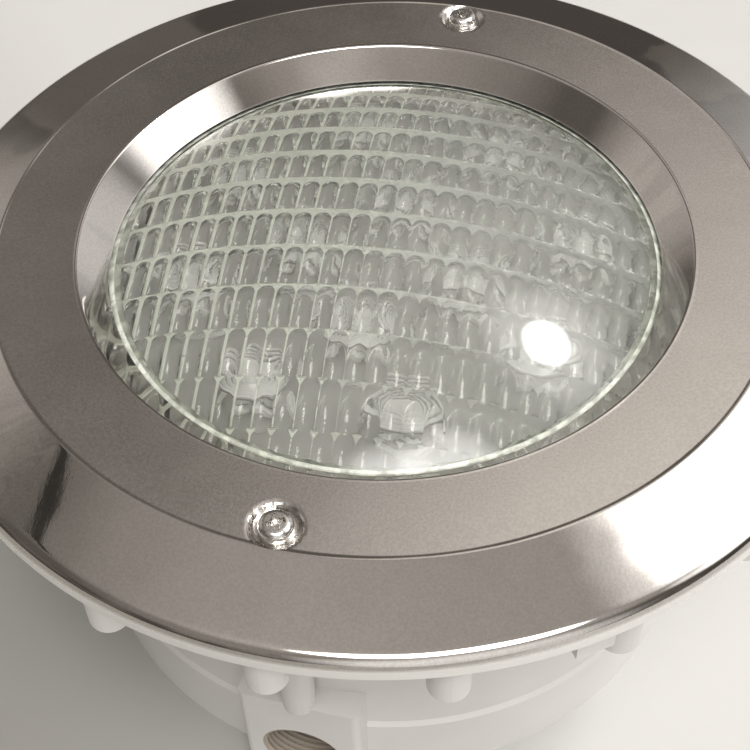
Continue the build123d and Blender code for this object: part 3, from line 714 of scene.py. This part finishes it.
class Sky(Tree):
    """The world's node tree: bright and dark areas by direction."""

    def __init__(self, base):
        world = bpy.data.worlds.new("room")
        bpy.context.scene.world = world
        world.use_nodes = True
        self.tree = world.node_tree
        self.sight = self.tree.nodes.new("ShaderNodeTexCoord").outputs["Generated"]
        colour = self.tree.nodes.new("ShaderNodeRGB")
        colour.outputs[0].default_value = (*base, 1)
        self.total = colour.outputs[0]

    def dot(self, azimuth, elevation):
        node = self.tree.nodes.new("ShaderNodeVectorMath")
        node.operation = "DOT_PRODUCT"
        node.inputs[1].default_value = direction(azimuth, elevation)
        self.tree.links.new(self.sight, node.inputs[0])
        return node.outputs["Value"]

    def area(self, azimuth, elevation, inner, outer):
        """One inside the inner angle around a direction, and nothing beyond the outer one."""
        edges = math.cos(math.radians(outer)), math.cos(math.radians(inner))
        return self.ramp(self.dot(azimuth, elevation), *edges)

    def noise(self, scale, detail):
        node = self.tree.nodes.new("ShaderNodeTexNoise")
        node.inputs["Scale"].default_value = scale
        node.inputs["Detail"].default_value = detail
        self.tree.links.new(self.sight, node.inputs["Vector"])
        return node.outputs["Fac"]

    def scaled(self, colour, factor):
        node = self.tree.nodes.new("ShaderNodeVectorMath")
        node.operation = "SCALE"
        if isinstance(colour, tuple):
            node.inputs[0].default_value = colour
        else:
            self.tree.links.new(colour, node.inputs[0])
        self.tree.links.new(factor, node.inputs["Scale"])
        return node.outputs[0]

    def add(self, areas):
        """Rows of azimuth, elevation, inner and outer angle, strength and tint."""
        for azimuth, elevation, inner, outer, strength, tint in areas:
            node = self.tree.nodes.new("ShaderNodeVectorMath")
            node.operation = "ADD"
            colour = tuple(strength * part for part in tint)
            light = self.scaled(colour, self.area(azimuth, elevation, inner, outer))
            self.tree.links.new(self.total, node.inputs[0])
            self.tree.links.new(light, node.inputs[1])
            self.total = node.outputs[0]

    def dim(self, mask, depth):
        """Takes depth, a number or a pattern, off the light where the mask is one."""
        loss = self.math("MULTIPLY", mask, depth)
        self.total = self.scaled(self.total, self.math("SUBTRACT", 1.0, loss))


room_tone = (0.133, 0.118, 0.105)
warm = (1.0, 0.94, 0.875)
plain = (1.0, 0.985, 0.965)
ceiling_lights = [
    (100, 83, 22, 50, 0.30, warm),
    (5, 48, 20, 50, 0.17, warm),
    (165, 54, 8, 25, 0.62, warm),
    (222, 36, 4, 15, 0.10, warm),
]
room_lights = [
    (-108, 22, 8, 32, 0.42, warm),
    (145, 10, 8, 30, 0.62, plain),
    (30, 17, 12, 38, 0.85, plain),      # from low in front
    (14, 67, 7, 14, 9.5, plain),        # softboxes over the camera
    (48, 67, 7, 14, 9.5, plain),
    (128, 53, 8, 20, 1.1, plain),       # glow around the window
    (103, 36, 8, 22, 2.0, plain),
    (132, 55, 4, 14, 3.5, plain),
    (132, 55, 0.5, 5.5, 80.0, plain),   # the window
]
ceiling_edge = (105.7, 33.6)            # normal of the plane through the eye and the ceiling's edge


def make_world():
    """A dim warm room with one bright window at the right, a pale ceiling and darker things low down."""
    sky = Sky(room_tone)
    sky.add(ceiling_lights)
    # things standing low in the room
    low_down = sky.ramp(sky.dot(0, 90), 0.34, 0.50, 1, 0)
    sky.dim(low_down, sky.ramp(sky.noise(5.5, 1), 0.47, 0.50, 0.35, -0.15))
    # the dark edge of the ceiling at the left, with slats under it
    edge = sky.dot(*ceiling_edge)
    line = sky.ramp(sky.math("ABSOLUTE", edge), 0.012, 0.017, 1, 0)
    sky.dim(sky.math("MULTIPLY", line, sky.area(-99, 53.5, 5, 7)), 0.78)
    slats = sky.math("SINE", sky.math("MULTIPLY", sky.math("ADD", edge, sky.noise(9, 1)), 110.0))
    beside = sky.math("MULTIPLY", sky.area(-104, 46, 6, 9), sky.ramp(edge, -0.03, -0.02, 1, 0))
    sky.dim(beside, sky.math("MULTIPLY", slats, -0.35))
    sky.add(room_lights)
    sky.tree.links.new(sky.total, sky.tree.nodes["Background"].inputs["Color"])


place_camera()
make_world()
make_floor()
dress_frame()
ring_piece()
lens_piece()
optics_piece()
bpy.context.scene.view_settings.view_transform = "Standard"
